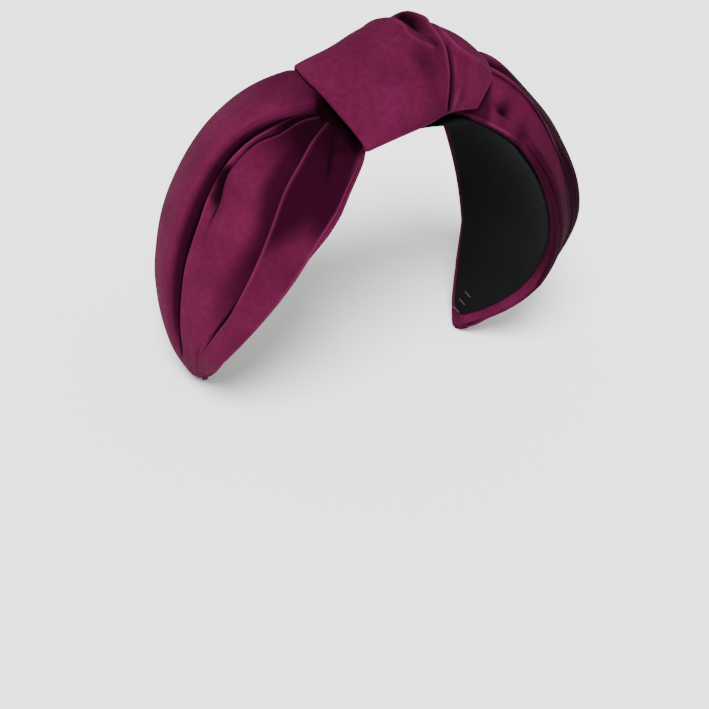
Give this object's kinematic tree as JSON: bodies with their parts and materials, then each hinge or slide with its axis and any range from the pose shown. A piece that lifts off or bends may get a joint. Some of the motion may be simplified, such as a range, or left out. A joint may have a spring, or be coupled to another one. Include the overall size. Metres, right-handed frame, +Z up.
{
  "type": "knotted headband",
  "caption": "Stiff hair band sleeved in plum velvet, with a fat wrapped knot over the crown and leaf-shaped pleated wings narrowing to rounded tips.",
  "frame": {"origin": "head seat: the highest point of the lining's inner face, where the band rests on the crown of the head", "axes": "+Z up out of the head, +X towards the wearer's left, the wearer faces -Y; the band's arc lies in the XZ plane"},
  "size_m": [0.1562, 0.0852, 0.1492],
  "materials": {
    "velvet": "plum short-pile velvet with a soft sheen",
    "lining": "black brushed facing",
    "wadding": "white polyester batting",
    "core_plastic": "moulded black plastic strip",
    "thread": "plum polyester sewing thread"
  },
  "bodies": {
    "crown": {"core_crown": "core_plastic", "lining_crown": "lining", "knot_main_wrap": "velvet", "knot_second_wrap": "velvet", "knot_wadding": "wadding", "knot_tack_stitches": "thread"},
    "right_arm": {"core_right_arm": "core_plastic", "lining_right_arm": "lining", "right_under_ply": "velvet", "right_wadding": "wadding", "right_outer_ply": "velvet", "right_tube_seam": "thread", "right_tip_tuck": "velvet", "right_tip_stitches": "thread"},
    "left_arm": {"core_left_arm": "core_plastic", "lining_left_arm": "lining", "left_under_ply": "velvet", "left_wadding": "wadding", "left_outer_ply": "velvet", "left_tube_seam": "thread", "left_tip_tuck": "velvet", "left_tip_stitches": "thread"}
  },
  "joints": [
    {"name": "right_arm_flex", "type": "hinge", "parent": "crown", "child": "right_arm", "pos_m": [-0.03156, 0, -0.00329], "axis": [0, 1, 0], "range_deg": [-3, 9], "stiffness_Nm_per_rad": 1.8},
    {"name": "left_arm_flex", "type": "hinge", "parent": "crown", "child": "left_arm", "pos_m": [0.02639, 0, -0.00101], "axis": [0, -1, 0], "range_deg": [-3, 9], "stiffness_Nm_per_rad": 1.8}
  ]
}
